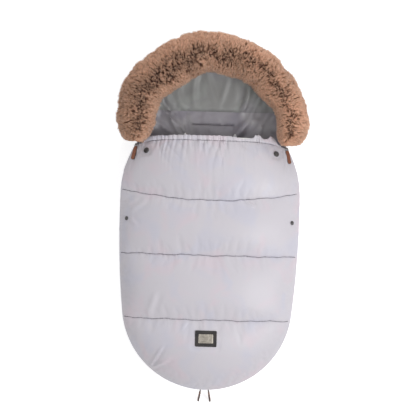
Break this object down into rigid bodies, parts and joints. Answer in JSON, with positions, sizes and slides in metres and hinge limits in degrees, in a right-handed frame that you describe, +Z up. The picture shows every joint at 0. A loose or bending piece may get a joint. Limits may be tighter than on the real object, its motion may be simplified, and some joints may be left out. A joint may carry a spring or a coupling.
{
  "type": "stroller footmuff",
  "caption": "Quilted footmuff for a pushchair, with a fur-trimmed hood, a zip-off cover that folds down at the top, harness slots and leather zip pulls.",
  "frame": {"origin": "on the ground under the middle of the bounding box, with the footmuff lying on its back", "axes": "+Y towards the hood, -Y towards the foot, +X to the right as seen from above with the hood at the top, +Z up through the cover"},
  "size_m": [0.524, 1.0314, 0.1378],
  "materials": {
    "black_patch": "matte",
    "brown_fur": "fur",
    "brown_leather": "satin",
    "grey_lining": "satin",
    "grey_plate": "satin",
    "gunmetal_snap": "dark",
    "knit_backing": "matte",
    "pull_metal": "satin",
    "satin_nylon": "satin",
    "shell_nylon": "matte",
    "wadding": "matte",
    "white_elastic": "matte",
    "zip_coil": "matte",
    "zip_tape": "matte"
  },
  "bodies": {
    "back": {"back_lining": "grey_lining", "back_padding": "wadding", "back_shell": "shell_nylon", "foot_bridge_lower": "zip_tape", "fur_backing_strip": "knit_backing", "fur_trim": "brown_fur", "hood_lining": "grey_lining", "hood_padding": "wadding", "hood_shell": "shell_nylon", "left_zip_back_coil": "zip_coil", "left_zip_back_tape": "zip_tape", "left_zip_bottom_stop": "pull_metal", "left_zip_top_stop": "pull_metal", "right_zip_back_coil": "zip_coil", "right_zip_back_tape": "zip_tape", "right_zip_bottom_stop": "pull_metal", "right_zip_top_stop": "pull_metal"},
    "cover": {"cover_lining": "grey_lining", "cover_panel_2": "satin_nylon", "cover_panel_3": "satin_nylon", "cover_panel_4": "satin_nylon", "foot_bridge_upper": "zip_tape", "label_patch": "black_patch", "label_plate": "grey_plate", "left_cover_stud": "gunmetal_snap", "left_cover_stud_cap": "gunmetal_snap", "left_zip_cover_coil": "zip_coil", "left_zip_cover_tape": "zip_tape", "right_cover_stud": "gunmetal_snap", "right_cover_stud_cap": "gunmetal_snap", "right_zip_cover_coil": "zip_coil", "right_zip_cover_tape": "zip_tape"},
    "flap": {"cover_panel_1": "satin_nylon", "flap_lining": "grey_lining", "hem_elastic": "white_elastic", "hem_tunnel": "satin_nylon", "left_flap_cap": "gunmetal_snap", "left_flap_socket": "gunmetal_snap", "left_zip_flap_coil": "zip_coil", "left_zip_flap_tape": "zip_tape", "right_flap_cap": "gunmetal_snap", "right_flap_socket": "gunmetal_snap", "right_zip_flap_coil": "zip_coil", "right_zip_flap_tape": "zip_tape"},
    "left_top_slider": {"left_top_slider": "pull_metal"},
    "right_top_slider": {"right_top_slider": "pull_metal"},
    "left_bottom_slider": {"left_bottom_slider": "pull_metal"},
    "right_bottom_slider": {"right_bottom_slider": "pull_metal"},
    "left_top_pull": {"left_top_pull_ring": "pull_metal", "left_top_pull_tab": "brown_leather"},
    "right_top_pull": {"right_top_pull_ring": "pull_metal", "right_top_pull_tab": "brown_leather"},
    "left_bottom_pull": {"left_bottom_pull_ring": "pull_metal", "left_bottom_pull_tab": "brown_leather"},
    "right_bottom_pull": {"right_bottom_pull_ring": "pull_metal", "right_bottom_pull_tab": "brown_leather"}
  },
  "joints": [
    {"name": "cover_open", "type": "hinge", "parent": "back", "child": "cover", "pos_m": [0, -0.4778, 0.046], "axis": [1, 0, 0], "range_deg": [0, 120]},
    {"name": "flap_fold", "type": "hinge", "parent": "cover", "child": "flap", "pos_m": [0, 0.04689, 0.126], "axis": [1, 0, 0], "range_deg": [0, 165]},
    {"name": "left_top_zip", "type": "hinge", "parent": "flap", "child": "left_top_slider", "pos_m": [0.01252, 0.0609, 0.046], "axis": [0, 0, 1], "range_deg": [0, 24]},
    {"name": "right_top_zip", "type": "hinge", "parent": "flap", "child": "right_top_slider", "pos_m": [-0.01252, 0.0609, 0.046], "axis": [0, 0, -1], "range_deg": [0, 24]},
    {"name": "left_bottom_zip", "type": "hinge", "parent": "back", "child": "left_bottom_slider", "pos_m": [0, -0.2423, 0.046], "axis": [0, 0, -1], "range_deg": [0, 78]},
    {"name": "right_bottom_zip", "type": "hinge", "parent": "back", "child": "right_bottom_slider", "pos_m": [0, -0.2423, 0.046], "axis": [0, 0, 1], "range_deg": [0, 78]},
    {"name": "left_top_pull_lift", "type": "hinge", "parent": "left_top_slider", "child": "left_top_pull", "pos_m": [-0.20682, 0.1965, 0.0598], "axis": [-0.8347, 0.0877, -0.5437], "range_deg": [0, 75]},
    {"name": "right_top_pull_lift", "type": "hinge", "parent": "right_top_slider", "child": "right_top_pull", "pos_m": [0.20682, 0.1965, 0.0598], "axis": [-0.8347, -0.0877, 0.5437], "range_deg": [0, 75]},
    {"name": "left_bottom_pull_swing", "type": "hinge", "parent": "left_bottom_slider", "child": "left_bottom_pull", "pos_m": [-0.01123, -0.48199, 0.037], "axis": [0.0331, 0.7063, -0.7071], "range_deg": [-10, 75]},
    {"name": "right_bottom_pull_swing", "type": "hinge", "parent": "right_bottom_slider", "child": "right_bottom_pull", "pos_m": [0.01123, -0.48199, 0.037], "axis": [0.0331, -0.7063, 0.7071], "range_deg": [-10, 75]}
  ]
}
